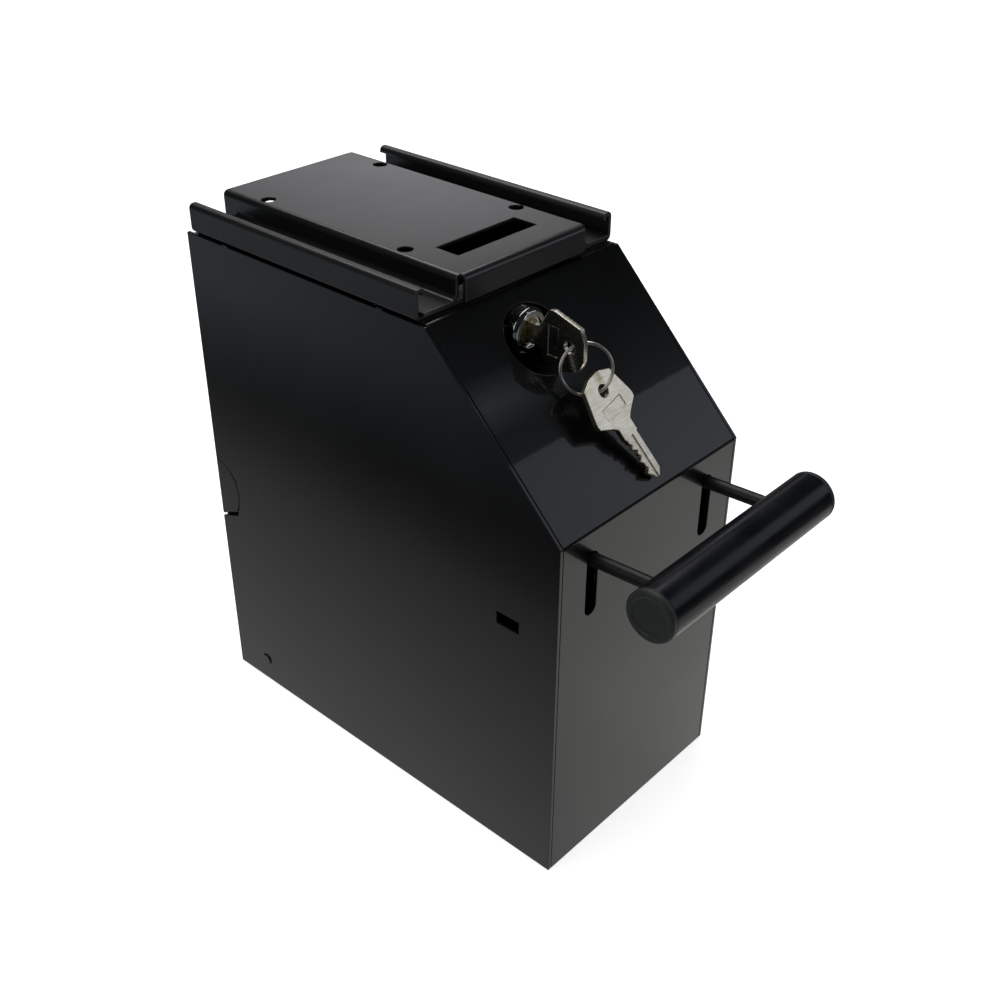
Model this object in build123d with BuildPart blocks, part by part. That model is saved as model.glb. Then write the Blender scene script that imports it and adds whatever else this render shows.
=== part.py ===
from build123d import *
import math
import os

os.makedirs("parts", exist_ok=True)

# Cash safe with a push-down lever handle, a cam lock and a slide-on mounting bracket.
# Origin on the floor at the middle of the outline, +Z up, handle and lock toward -Y.

# Sheet metal body
body_width = 102.0
sheet = 1.5
front_y = -71.25
panel_depth = 183.65
front_height = 148.4
slope_run = 60.3
deck_lift = 0.6
bend_radius = 2.4
seam_gap = 0.2
half_width = body_width / 2
inner_half = half_width - sheet
back_y = front_y + panel_depth
slope_top = front_height + slope_run
panel_top = slope_top - deck_lift

# Slope frame: local x across, local y up the slope, local z outward
slope_out = Vector(0, -1, 1).normalized()
slope_plane = Plane(origin=(0, front_y, front_height), x_dir=(1, 0, 0), z_dir=slope_out)

# Lock
lock_x = -10.0
lock_rise = 47.8
lock_recess = 1.4
lock_z = front_height + lock_rise
lock_face_y = front_y + lock_rise + lock_recess
lock_head_dia = 17.0
lock_head_depth = 5.0
lock_opening_dia = 27.5
lock_opening_drop = 2.2
lock_opening_s = lock_rise * math.sqrt(2) - lock_opening_drop
barrel_dia = 11.0
barrel_length = 15.6
plug_dia = 9.0
plug_recess = 1.0
running_fit = 0.05
seat_y = lock_face_y + lock_head_depth
barrel_end = seat_y + barrel_length
nut_flats = 13.0
nut_height = 4.0
washer_dia = 14.0
washer_height = 1.5
cam_gap = 0.4
cam_thickness = 2.0
cam_width = 10.0
cam_reach = 20.0
cam_y = barrel_end + cam_gap
cam_screw_dia = 3.0
cam_screw_head = 6.0
cam_screw_head_height = 1.2
cam_screw_length = 1.7

# Keys
key_thickness = 2.0
key_length = 42.5
key_shoulder = 24.8
bow_length = 20.0
bow_half = 11.3
key_hole_dia = 4.7
key_hole_from_end = 6.3
collar_half = 3.9
blade_half = 3.3
shoulder_gap = 0.1
lock_key_end_y = lock_face_y + plug_recess - shoulder_gap - key_shoulder
keyway_clearance = 0.12

# Ring and spare key, measured in the slope frame
ring_wire = 1.2
ring_slack = 0.3
spare_hole_x = lock_x + 3.8
spare_hole_s = 38.3
spare_hole_n = 9.0
spare_tip_x = lock_x + 12.0
spare_tip_s = 2.9
spare_tip_n = 1.9

# Handle lever
lever_rod_inset = 16.0
lever_rod_x = inner_half - lever_rod_inset
rod_dia = 5.0
handle_reach = 34.5
handle_drop = 9.8
handle_y = front_y - handle_reach
handle_z = front_height - handle_drop
handle_dia = 19.0
handle_wall = 1.5
handle_inset = 2.0
handle_length = body_width - 2 * handle_inset
cap_thickness = 2.3
cap_plug_depth = 8.0
socket_fit = 0.02
pivot_inset = 25.65
pivot_drop = 10.6
pivot_y = back_y - pivot_inset
pivot_z = handle_z - pivot_drop
axle_dia = 5.0
sleeve_dia = 10.0
clip_dia = 9.0
clip_thickness = 1.0
clip_gap = 1.0
sleeve_half = inner_half - sheet - clip_thickness - clip_gap
lever_rise = handle_z - pivot_z
lever_run = pivot_y - handle_y
lever_length = math.hypot(lever_run, lever_rise)
lever_tilt = math.degrees(math.atan2(lever_rise, lever_run))

# Lever frame: local x across, local y rearward along the rods, local z upward from them
lever_up = Vector(0, lever_rise, lever_run).normalized()
lever_plane = Plane(origin=(0, pivot_y, pivot_z), x_dir=(1, 0, 0), z_dir=lever_up)
slot_width = 6.0
slot_length = 26.1
slot_headroom = 0.4
rod_at_front_z = pivot_z + (pivot_y - front_y) * lever_rise / lever_run
slot_top = rod_at_front_z + rod_dia / 2 + slot_headroom
slot_bottom = slot_top - slot_length

# Pusher plate
pusher_side_gap = 3.0
pusher_half = inner_half - pusher_side_gap
pusher_front = 10.0
pusher_back = 106.0
pusher_window_front = 66.0
pusher_window_back = 92.0
pusher_window_half = 26.0
pusher_flange = 5.5

# Return springs
spring_y = front_y + 100.0
spring_dia = 7.0
eye_height = 8.8
spring_bottom = pivot_z + (pivot_y - spring_y) * lever_rise / lever_run + eye_height
anchor_drop = 5.0
anchor_base = 10.0
eye_depth = 8.0

# Deck and rails
deck_bottom = slope_top
rail_front = front_y + slope_run + 3.1
rail_back = back_y - 0.4
rail_height = 11.1
rail_top = deck_bottom + rail_height
lip_depth = 4.6
rail_radius = lip_depth / 2 - 0.3
lip_end = half_width - lip_depth
hook_depth = rail_radius + 0.7
hook_end = rail_top - hook_depth
front_flange_back = front_y + slope_run + 8.1
bridge_length = 3.0
bridge_front = front_y + 81.0
bridge_back = back_y - 20.15
note_slot_margin = 1.2
note_slot_half = 23.0
cam_slot_left = lock_x - 6.2
cam_slot_right = lock_x + 19.2
cam_slot_gap = 0.7
cam_slot_front = cam_y - cam_slot_gap

# Mounting bracket
bracket_front = front_y + slope_run - 0.5
bracket_back = back_y + 2.85
bracket_flange_back = bracket_back - 9.0
bracket_half = 33.7
bracket_rise = 11.6
bracket_top = deck_bottom + bracket_rise
bracket_side_gap = 0.9
bracket_flange_half = inner_half - bracket_side_gap
bracket_corner = bend_radius + 0.2
corner_slit = 0.7
bracket_lift = 0.3
bolt_dia = 5.5
bolt_x = 28.6
bolt_spacing = 73.2
bolt_front = bracket_front + 31.0
bolt_back = bolt_front + bolt_spacing
bill_slot_half = 20.3
bill_slot_front = bracket_front + 13.8
bill_slot_length = 10.8
bill_slot_back = bill_slot_front + bill_slot_length
note_slot_front = bill_slot_front - note_slot_margin
note_slot_back = bill_slot_back + note_slot_margin

# Side panel details
lance_front = front_y + 17.2
lance_back = front_y + 27.6
lance_drop = 42.9
lance_height = 5.0
lance_bottom = front_height - lance_drop
lance_top = lance_bottom + lance_height
lance_reach = 9.0
notch_bottom = 79.9
notch_height = 29.8
notch_top = notch_bottom + notch_height
notch_depth = 13.1
notch_lip = 10.7
notch_rise = 1.5
notch_gap = 0.3
notch_slit = 1.9
rivet_y = back_y - 16.65
rivet_z = 11.0
rivet_dia = 3.0
rivet_head_dia = 5.6
rivet_head_height = 0.6
floor_flange_height = 15.0
front_flange_depth = 12.0

# Rear door and its hinge
knuckle_radius = 3.0
door_gap = 2.85
door_face_y = back_y + door_gap
hinge_y = door_face_y - knuckle_radius
hinge_z = knuckle_radius
hinge_pin_dia = 2.5
hinge_half = inner_half - 5.5
door_knuckle_half = 15.7
knuckle_gap = 0.3
floor_knuckle_inner = door_knuckle_half + knuckle_gap
door_bottom = 6.5
door_top = slope_top - 1.7
door_side_gap = 0.7
door_edge_gap = 0.3
door_flange_outer = inner_half - door_side_gap
door_flange_front = door_face_y - 11.5
door_flange_bottom = 12.0
door_flange_top = door_top - 4.0
door_top_flange_front = door_face_y - 8.5

deck_top = deck_bottom + sheet


# Side panels
side_outline = [
    (front_y, 0),
    (door_face_y, 0),
    (door_face_y, panel_top),
    (front_y + panel_top - front_height, panel_top),
    (front_y, front_height),
]


def notch_outline(rear, gap, slit):
    # The curved notch at the rear edge, or with a gap and a slit the door tab that fills it.
    return [
        (rear, notch_top - gap),
        (door_face_y - 3.8 + gap, notch_top - notch_rise - gap),
        (door_face_y - 8.1 + gap, notch_top - 3.6 - gap),
        (door_face_y - 12.1 + gap, notch_top - 7.8 - gap),
        (door_face_y - notch_depth + gap, notch_top - 13.8),
        (door_face_y - 12.6 + gap, notch_bottom + 10.8),
        (door_face_y - notch_lip + gap, notch_bottom + 4.6 + slit),
        (rear, notch_bottom + slit),
    ]


def build_side_panel(side):
    # One side panel, side is -1 for the left and 1 for the right.
    with BuildPart() as panel:
        inner_x = side * inner_half
        with BuildSketch(Plane.YZ.offset(inner_x)):
            with BuildLine():
                Polyline(*side_outline, close=True)
            make_face()
            with BuildLine():
                Polyline(*notch_outline(door_face_y + 1, 0, 0), close=True)
            make_face(mode=Mode.SUBTRACT)
            with Locations(((lance_front + lance_back) / 2, (lance_bottom + lance_top) / 2)):
                Rectangle(lance_back - lance_front, lance_top - lance_bottom, mode=Mode.SUBTRACT)
            with Locations((rivet_y, rivet_z)):
                Circle(rivet_dia / 2 + socket_fit, mode=Mode.SUBTRACT)
            with Locations((bridge_front, panel_top), (bridge_back, panel_top)):
                Rectangle(bridge_length, deck_bottom - panel_top, align=(Align.CENTER, Align.MIN))
        extrude(amount=side * sheet)
        with BuildSketch(Plane.XZ.offset(-lance_back)):
            with Locations((side * (half_width - lance_reach / 2 - sheet / 2), (lance_bottom + lance_top) / 2)):
                Rectangle(lance_reach, lance_top - lance_bottom)
        extrude(amount=-sheet)
    return panel


left_side_panel = build_side_panel(-1)

right_side_panel = build_side_panel(1)

# Front panel with the slope, the top flange and the welded side flanges
panel_half = inner_half - seam_gap
inner_shift = sheet * math.tan(math.radians(22.5))
front_inner_y = front_y + sheet
flange_y = front_inner_y + front_flange_depth
flange_shift = (sheet + front_flange_depth) * math.tan(math.radians(22.5))
side_flange_outline = [
    (front_inner_y, sheet + 1),
    (front_inner_y, front_height - inner_shift),
    (front_y + slope_run - inner_shift - 2 * bend_radius, slope_top - sheet - 2 * bend_radius),
    (front_y + slope_run - 2 * bend_radius, slope_top - sheet - 2 * bend_radius - front_flange_depth),
    (flange_y, front_height - flange_shift),
    (flange_y, sheet + 1),
]
with BuildPart() as front_panel:
    with BuildSketch(Plane.YZ.offset(-panel_half)):
        with BuildLine():
            front_line = FilletPolyline(
                (front_y, 0),
                (front_y, front_height),
                (front_y + slope_run, slope_top),
                (front_flange_back, slope_top),
                radius=bend_radius,
            )
            offset(front_line, amount=sheet, side=Side.RIGHT)
        make_face()
    extrude(amount=2 * panel_half)
    for side in (-1, 1):
        with BuildSketch(Plane.YZ.offset(side * inner_half)):
            with BuildLine():
                Polyline(*side_flange_outline, close=True)
            make_face()
        extrude(amount=-side * sheet)
    with BuildSketch(Plane.XZ.offset(-front_y - sheet - 1)):
        with Locations((-lever_rod_x, (slot_bottom + slot_top) / 2), (lever_rod_x, (slot_bottom + slot_top) / 2)):
            SlotOverall(slot_top - slot_bottom, slot_width, rotation=90)
    extrude(amount=sheet + 2, mode=Mode.SUBTRACT)
    with BuildSketch(slope_plane):
        with Locations((lock_x, lock_opening_s)):
            Circle(lock_opening_dia / 2)
    extrude(amount=-sheet - 1, mode=Mode.SUBTRACT)

# Floor panel with side flanges and the fixed hinge knuckles
with BuildPart() as floor_panel:
    with BuildSketch(Plane.XY):
        with Locations((0, front_inner_y)):
            Rectangle(2 * panel_half, hinge_y - knuckle_radius - 0.5 - front_inner_y, align=(Align.CENTER, Align.MIN))
    extrude(amount=sheet)
    flange_start = flange_y + 1
    flange_end = door_flange_front - 1
    for side in (-1, 1):
        with BuildSketch(Plane.YZ.offset(side * inner_half)):
            with Locations((flange_start, 0)):
                Rectangle(flange_end - flange_start, floor_flange_height, align=(Align.MIN, Align.MIN))
            with Locations((rivet_y, rivet_z)):
                Circle(rivet_dia / 2 + socket_fit, mode=Mode.SUBTRACT)
        extrude(amount=-side * sheet)
    knuckle_length = hinge_half - floor_knuckle_inner
    for start in (-hinge_half, floor_knuckle_inner):
        with BuildSketch(Plane.YZ.offset(start)):
            with Locations((hinge_y, hinge_z)):
                Circle(knuckle_radius)
            with Locations((hinge_y, 0)):
                Rectangle(6.0, sheet, align=(Align.MAX, Align.MIN))
            with Locations((hinge_y, hinge_z)):
                Circle(hinge_pin_dia / 2 + socket_fit, mode=Mode.SUBTRACT)
        extrude(amount=knuckle_length)

with BuildPart() as floor_rivets:
    for side in (-1, 1):
        with BuildSketch(Plane.YZ.offset(side * half_width)):
            with Locations((rivet_y, rivet_z)):
                Circle(rivet_head_dia / 2)
        extrude(amount=side * rivet_head_height)
        with BuildSketch(Plane.YZ.offset(side * half_width)):
            with Locations((rivet_y, rivet_z)):
                Circle(rivet_dia / 2)
        extrude(amount=-side * 2 * sheet)
    head_edges = floor_rivets.edges().filter_by(GeomType.CIRCLE).filter_by(
        lambda e: abs(abs(e.center().X) - half_width - rivet_head_height) < 0.01
    )
    fillet(head_edges, rivet_head_height * 0.7)

# Rear door, hinged along its bottom edge
with BuildPart() as rear_door:
    with BuildSketch(Plane.XZ.offset(-door_face_y)):
        with Locations((0, door_bottom)):
            Rectangle(2 * (inner_half - door_edge_gap), door_top - door_bottom, align=(Align.CENTER, Align.MIN))
        with Locations((0, notch_bottom + notch_slit)):
            Rectangle(
                body_width,
                notch_height - notch_slit - notch_rise - notch_gap,
                align=(Align.CENTER, Align.MIN),
            )
    extrude(amount=sheet)
    for side in (-1, 1):
        with BuildSketch(Plane.YZ.offset(side * door_flange_outer)):
            with Locations((door_flange_front, door_flange_bottom)):
                Rectangle(
                    door_face_y - sheet - door_flange_front,
                    door_flange_top - door_flange_bottom,
                    align=(Align.MIN, Align.MIN),
                )
        extrude(amount=-side * sheet)
    for side in (-1, 1):
        with BuildSketch(Plane.YZ.offset(side * inner_half)):
            with BuildLine():
                Polyline(*notch_outline(door_face_y, notch_gap, notch_slit), close=True)
            make_face()
        extrude(amount=side * sheet)
    with BuildSketch(Plane.XY.offset(door_top - sheet)):
        with Locations((0, door_top_flange_front)):
            Rectangle(
                2 * (door_flange_outer - 3 * sheet),
                door_face_y - door_top_flange_front,
                align=(Align.CENTER, Align.MIN),
            )
    extrude(amount=sheet)
    with BuildSketch(Plane.YZ.offset(-door_knuckle_half)):
        with Locations((hinge_y, hinge_z)):
            Circle(knuckle_radius)
        with Locations((door_face_y, hinge_z)):
            Rectangle(sheet, door_bottom - hinge_z + 1, align=(Align.MAX, Align.MIN))
        with Locations((hinge_y, hinge_z)):
            Circle(hinge_pin_dia / 2 + running_fit, mode=Mode.SUBTRACT)
    extrude(amount=2 * door_knuckle_half)

with BuildPart() as door_hinge_pin:
    with BuildSketch(Plane.YZ.offset(-hinge_half)):
        with Locations((hinge_y, hinge_z)):
            Circle(hinge_pin_dia / 2)
    extrude(amount=2 * hinge_half)

# Deck and rails from one sheet
with BuildPart() as deck_track:
    with BuildSketch(Plane.XZ.offset(-rail_front)):
        with BuildLine():
            rail_line = FilletPolyline(
                (lip_end, hook_end),
                (lip_end, rail_top),
                (half_width, rail_top),
                (half_width, deck_bottom),
                (-half_width, deck_bottom),
                (-half_width, rail_top),
                (-lip_end, rail_top),
                (-lip_end, hook_end),
                radius=rail_radius,
            )
            offset(rail_line, amount=sheet, side=Side.RIGHT)
        make_face()
    extrude(amount=-(rail_back - rail_front))
    with BuildSketch(Plane.XY.offset(deck_bottom - 1)):
        with Locations((0, note_slot_front)):
            Rectangle(2 * note_slot_half, note_slot_back - note_slot_front, align=(Align.CENTER, Align.MIN))
        with Locations((cam_slot_left, cam_slot_front)):
            Rectangle(
                cam_slot_right - cam_slot_left,
                note_slot_front - cam_slot_front,
                align=(Align.MIN, Align.MIN),
            )
    extrude(amount=sheet + 2, mode=Mode.SUBTRACT)

# Mounting bracket, a top hat channel that slides under the rail lips
flange_top = deck_top + sheet
wall_front = bracket_front + sheet + corner_slit
with BuildPart() as bracket_tail:
    with BuildSketch(Plane.XY.offset(deck_top + bracket_lift)):
        with Locations((0, bracket_flange_back)):
            Rectangle(2 * bracket_half, bracket_back - bracket_flange_back, align=(Align.CENTER, Align.MIN))
        fillet(vertices().group_by(Axis.Y)[-1], bracket_corner)
    extrude(amount=bracket_top - deck_top - bracket_lift)
    roof = bracket_tail.faces().sort_by(Axis.Z)[-1]
    fillet(roof.edges().filter_by(lambda e: e.center().Y > bracket_flange_back + 0.01), bend_radius)
    tail_open = bracket_tail.faces().sort_by(Axis.Z)[:1] + bracket_tail.faces().sort_by(Axis.Y)[:1]
    offset(amount=-sheet, openings=tail_open)

with BuildPart() as mounting_bracket:
    with BuildSketch(Plane.XZ.offset(-wall_front)):
        with BuildLine():
            hat_line = FilletPolyline(
                (-bracket_flange_half, flange_top),
                (-bracket_half, flange_top),
                (-bracket_half, bracket_top),
                (bracket_half, bracket_top),
                (bracket_half, flange_top),
                (bracket_flange_half, flange_top),
                radius=bend_radius,
            )
            offset(hat_line, amount=sheet, side=Side.RIGHT)
        make_face()
    extrude(amount=-(bracket_flange_back - wall_front))
    with BuildSketch(Plane.YZ.offset(-bracket_half + bend_radius)):
        with BuildLine():
            lip_line = FilletPolyline(
                (bracket_front, deck_top + bracket_lift),
                (bracket_front, bracket_top),
                (wall_front + 1, bracket_top),
                radius=bend_radius,
            )
            offset(lip_line, amount=sheet, side=Side.RIGHT)
        make_face()
    extrude(amount=2 * (bracket_half - bend_radius))
    add(bracket_tail.part)
    with BuildSketch(Plane.XY.offset(bracket_top - sheet - 1)):
        for bolt_y in (bolt_front, bolt_back):
            with Locations((-bolt_x, bolt_y), (bolt_x, bolt_y)):
                Circle(bolt_dia / 2)
        with Locations((0, bill_slot_front)):
            Rectangle(2 * bill_slot_half, bill_slot_back - bill_slot_front, align=(Align.CENTER, Align.MIN))
    extrude(amount=sheet + 2, mode=Mode.SUBTRACT)

# Lock pocket behind the round opening
pocket_half = 17.0
pocket_bottom = lock_z - 16.2
pocket_top = lock_z + 3.2
ear_radius = 8.2
pocket_back = seat_y + sheet
slope_inner_shift = sheet * math.sqrt(2)
slope_inner_at = front_y - front_height + slope_inner_shift
cheek_outline = [
    (pocket_back, pocket_bottom),
    (pocket_bottom + slope_inner_at, pocket_bottom),
    (pocket_top + slope_inner_at, pocket_top),
    (pocket_back, pocket_top),
]
with BuildPart() as lock_bracket:
    for edge_x in (lock_x - pocket_half, lock_x + pocket_half - sheet):
        with BuildSketch(Plane.YZ.offset(edge_x)):
            with BuildLine():
                Polyline(*cheek_outline, close=True)
            make_face()
        extrude(amount=sheet)
    with BuildSketch(Plane.YZ.offset(lock_x - pocket_half)):
        with BuildLine():
            Polyline(
                (pocket_back, pocket_bottom),
                (pocket_bottom + slope_inner_at, pocket_bottom),
                (pocket_bottom + sheet + slope_inner_at, pocket_bottom + sheet),
                (pocket_back, pocket_bottom + sheet),
                close=True,
            )
        make_face()
    extrude(amount=2 * pocket_half)
    with BuildSketch(Plane.XZ.offset(-pocket_back)):
        with Locations((lock_x, pocket_bottom)):
            Rectangle(2 * pocket_half, pocket_top - pocket_bottom, align=(Align.CENTER, Align.MIN))
        with Locations((lock_x, lock_z)):
            Circle(ear_radius)
            Circle(barrel_dia / 2 + socket_fit, mode=Mode.SUBTRACT)
    extrude(amount=sheet)

# Cam lock
lock_axis_plane = Plane(origin=(lock_x, lock_face_y, lock_z), x_dir=(1, 0, 0), z_dir=(0, 1, 0))
head_bevel = 1.2
ring_wall = 1.6
with BuildPart() as lock_body:
    with BuildSketch(lock_axis_plane):
        Circle(lock_head_dia / 2)
    extrude(amount=lock_head_depth)
    chamfer(lock_body.faces().sort_by(Axis.Y)[0].edges(), head_bevel)
    with BuildSketch(lock_axis_plane):
        Circle(barrel_dia / 2)
    extrude(amount=lock_head_depth + barrel_length)
    with BuildSketch(lock_axis_plane):
        Circle(plug_dia / 2 + running_fit)
    extrude(amount=lock_head_depth + barrel_length, mode=Mode.SUBTRACT)
    with BuildSketch(lock_axis_plane):
        Circle(lock_head_dia / 2 - head_bevel - ring_wall)
    extrude(amount=plug_recess, mode=Mode.SUBTRACT)

with BuildPart() as lock_washer:
    with BuildSketch(Plane.XZ.offset(-pocket_back)):
        with Locations((lock_x, lock_z)):
            Circle(washer_dia / 2)
            Circle(barrel_dia / 2 + socket_fit, mode=Mode.SUBTRACT)
    extrude(amount=-washer_height)

with BuildPart() as lock_nut:
    with BuildSketch(Plane.XZ.offset(-pocket_back - washer_height)):
        with Locations((lock_x, lock_z)):
            RegularPolygon(nut_flats / 2, 6, major_radius=False, rotation=30)
            Circle(barrel_dia / 2 + socket_fit, mode=Mode.SUBTRACT)
    extrude(amount=-nut_height)

keyway_end = lock_key_end_y + key_length + 0.3
with BuildPart() as lock_plug:
    with BuildSketch(Plane.XZ.offset(-lock_face_y - plug_recess)):
        with Locations((lock_x, lock_z)):
            Circle(plug_dia / 2)
    extrude(amount=-(cam_y - lock_face_y - plug_recess))
    with BuildSketch(Plane.XZ.offset(-lock_face_y - plug_recess)):
        with Locations((lock_x, lock_z)):
            Rectangle(key_thickness + 2 * keyway_clearance, 2 * (blade_half + keyway_clearance))
    extrude(amount=-(keyway_end - lock_face_y - plug_recess), mode=Mode.SUBTRACT)
    with BuildSketch(Plane.XZ.offset(-cam_y)):
        with Locations((lock_x, lock_z)):
            Circle(cam_screw_dia / 2 + socket_fit)
    extrude(amount=cam_y - keyway_end, mode=Mode.SUBTRACT)

with BuildPart() as lock_cam:
    with BuildSketch(Plane.XZ.offset(-cam_y)):
        with Locations((lock_x, lock_z)):
            Circle(cam_width / 2)
        with Locations((lock_x, lock_z - cam_width / 2)):
            Rectangle(cam_reach, cam_width, align=(Align.MIN, Align.MIN))
        with Locations((lock_x, lock_z)):
            Circle(cam_screw_dia / 2 + socket_fit, mode=Mode.SUBTRACT)
    extrude(amount=-cam_thickness)

screw_head_y = cam_y + cam_thickness
with BuildPart() as cam_screw:
    with BuildSketch(Plane.XZ.offset(-screw_head_y)):
        with Locations((lock_x, lock_z)):
            Circle(cam_screw_head / 2)
    extrude(amount=-cam_screw_head_height)
    with BuildSketch(Plane.XZ.offset(-screw_head_y)):
        with Locations((lock_x, lock_z)):
            Circle(cam_screw_dia / 2)
    extrude(amount=cam_thickness + cam_screw_length)
    with BuildSketch(Plane.XZ.offset(-screw_head_y - cam_screw_head_height)):
        with Locations((lock_x, lock_z)):
            Rectangle(cam_screw_head, 0.8)
    extrude(amount=0.8, mode=Mode.SUBTRACT)

# Key outline, local x from the end of the bow to the tip, with the cuts on the -y side
bow_side = [
    (0, 3.4),
    (1.9, 7.9),
    (12.6, bow_half - 0.2),
    (13.9, bow_half),
    (15.5, bow_half - 0.3),
    (18.6, 5.6),
    (bow_length, collar_half),
]
blade_back = [
    (key_shoulder, collar_half),
    (key_shoulder, blade_half),
    (key_length - 2.2, blade_half),
    (key_length, 1.4),
]
cut_high = -blade_half
cut_low = -blade_half + 1.9
cut_mid = -blade_half + 1.1
cut_step = 1.25
cut_heights = [cut_high, cut_mid, cut_high, cut_low, cut_mid, cut_low, cut_high, cut_mid, cut_mid, cut_low, cut_high]
cut_start = key_shoulder + 1.5
blade_cuts = [(cut_start + cut_step * n, height) for n, height in enumerate(cut_heights)]
tip_cut = [(key_length, 0.2), (key_length - 1.6, -1.2)]
key_outline = (
    bow_side
    + blade_back
    + tip_cut
    + blade_cuts[::-1]
    + [(key_shoulder, -blade_half), (key_shoulder, -collar_half)]
    + [(x, -y) for x, y in bow_side[::-1]]
)
panel_centre = 13.4
panel_length = 4.4
panel_width = 11.0
panel_recess = 0.25
groove_half = 0.6
groove_depth = 0.5


def build_key(key_plane):
    # A flat key: bow, collar and blade, with a plain recessed field and a blade groove.
    with BuildPart() as key:
        with BuildSketch(key_plane.offset(-key_thickness / 2)):
            with BuildLine():
                Polyline(*key_outline, close=True)
            make_face()
            with Locations((key_hole_from_end, 0)):
                Circle(key_hole_dia / 2, mode=Mode.SUBTRACT)
        extrude(amount=key_thickness)
        for face_side in (-1, 1):
            with BuildSketch(key_plane.offset(face_side * key_thickness / 2)):
                with Locations((panel_centre, 0)):
                    Rectangle(panel_length, panel_width)
            extrude(amount=-face_side * panel_recess, mode=Mode.SUBTRACT)
            with BuildSketch(key_plane.offset(face_side * key_thickness / 2)):
                with Locations((key_shoulder, 0)):
                    Rectangle(key_length - key_shoulder, 2 * groove_half, align=(Align.MIN, Align.CENTER))
            extrude(amount=-face_side * groove_depth, mode=Mode.SUBTRACT)
    return key


lock_key_plane = Plane(origin=(lock_x, lock_key_end_y, lock_z), x_dir=(0, 1, 0), z_dir=(1, 0, 0))
lock_key = build_key(lock_key_plane)


def slope_point(across, up, out):
    # World position of a point given in the slope frame.
    return slope_plane.from_local_coords(Vector(across, up, out))


def slope_direction(across, up, out):
    # World direction of a vector given in the slope frame.
    return (slope_point(across, up, out) - slope_point(0, 0, 0)).normalized()


# The spare key lies along the slope, hung from the ring by its hole
spare_hole = slope_point(spare_hole_x, spare_hole_s, spare_hole_n)
spare_down = (slope_point(spare_tip_x, spare_tip_s, spare_tip_n) - spare_hole).normalized()
spare_plane = Plane(
    origin=spare_hole - spare_down * key_hole_from_end,
    x_dir=spare_down,
    z_dir=spare_down.cross(Vector(1, 0, 0)).normalized(),
)
spare_key = build_key(spare_plane)

lock_key_hole = Vector(lock_x, lock_key_end_y + key_hole_from_end, lock_z)
ring_centre = (lock_key_hole + spare_hole) * 0.5
ring_across = (spare_hole - lock_key_hole).normalized()
ring_through = slope_direction(0.70, 0.03, 0.72)
ring_axis = ring_across.cross(ring_through).normalized()
with BuildPart() as key_ring:
    with Locations(Plane(origin=ring_centre, z_dir=ring_axis)):
        Torus((spare_hole - lock_key_hole).length / 2 - ring_slack, ring_wire / 2)

# Handle lever
tube_inner = handle_dia / 2 - handle_wall
tube_half = handle_length / 2 - cap_thickness
with BuildPart() as handle_tube:
    with BuildSketch(Plane.YZ.offset(-tube_half)):
        with Locations((handle_y, handle_z)):
            Circle(handle_dia / 2)
            Circle(tube_inner, mode=Mode.SUBTRACT)
    extrude(amount=2 * tube_half)
    socket_plane = Plane(
        origin=(0, handle_y, handle_z),
        x_dir=(1, 0, 0),
        z_dir=lever_plane.y_dir,
    )
    with BuildSketch(socket_plane):
        with Locations((-lever_rod_x, 0), (lever_rod_x, 0)):
            Circle(rod_dia / 2 + socket_fit)
    extrude(amount=handle_dia, mode=Mode.SUBTRACT)

cap_rim = 0.7
cap_dish = 0.5
groove_ring = 6.8


def build_end_cap(side):
    # A push-in cap with a raised rim and a shallow dished face.
    with BuildPart() as cap:
        outer = side * handle_length / 2
        seat = outer - side * cap_thickness
        with BuildSketch(Plane(origin=(0, handle_y, handle_z), x_dir=(0, 0, 1), z_dir=(0, 1, 0))):
            with BuildLine():
                Polyline(
                    (0, seat - side * cap_plug_depth),
                    (tube_inner - 1.0, seat - side * cap_plug_depth),
                    (tube_inner - socket_fit, seat - side * (cap_plug_depth - 1.0)),
                    (tube_inner - socket_fit, seat),
                    (handle_dia / 2, seat),
                    (handle_dia / 2, outer - side * cap_rim),
                    (handle_dia / 2 - cap_rim, outer),
                    (groove_ring + 0.5, outer),
                    (groove_ring, outer - side * cap_dish),
                    (0, outer - side * cap_dish),
                    close=True,
                )
            make_face()
        revolve(axis=Axis((0, handle_y, handle_z), (1, 0, 0)), revolution_arc=360)
    return cap


left_end_cap = build_end_cap(-1)

right_end_cap = build_end_cap(1)

rod_reach = lever_length + 5.0
eye_bottom = spring_bottom - eye_height


def build_lever_rod(side):
    # A rod from inside the handle to the pivot sleeve, with an eye for its spring.
    with BuildPart() as rod:
        rod_start = Plane(
            origin=lever_plane.from_local_coords(Vector(side * lever_rod_x, 0, 0)),
            x_dir=(1, 0, 0),
            z_dir=-lever_plane.y_dir,
        )
        with BuildSketch(rod_start):
            Circle(rod_dia / 2)
        extrude(amount=rod_reach)
        with BuildSketch(Plane.YZ.offset(side * lever_rod_x - sheet / 2)):
            with Locations((spring_y, eye_bottom)):
                Rectangle(eye_depth, spring_bottom - eye_bottom, align=(Align.CENTER, Align.MIN))
        extrude(amount=sheet)
        with BuildSketch(Plane.YZ.offset(side * lever_rod_x - rod_dia)):
            with Locations((pivot_y, pivot_z)):
                Circle(sleeve_dia / 2)
        extrude(amount=2 * rod_dia, mode=Mode.SUBTRACT)
    return rod


left_lever_rod = build_lever_rod(-1)

right_lever_rod = build_lever_rod(1)

with BuildPart() as pivot_sleeve:
    with BuildSketch(Plane.YZ.offset(-sleeve_half)):
        with Locations((pivot_y, pivot_z)):
            Circle(sleeve_dia / 2)
            Circle(axle_dia / 2 + running_fit, mode=Mode.SUBTRACT)
    extrude(amount=2 * sleeve_half)

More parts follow.
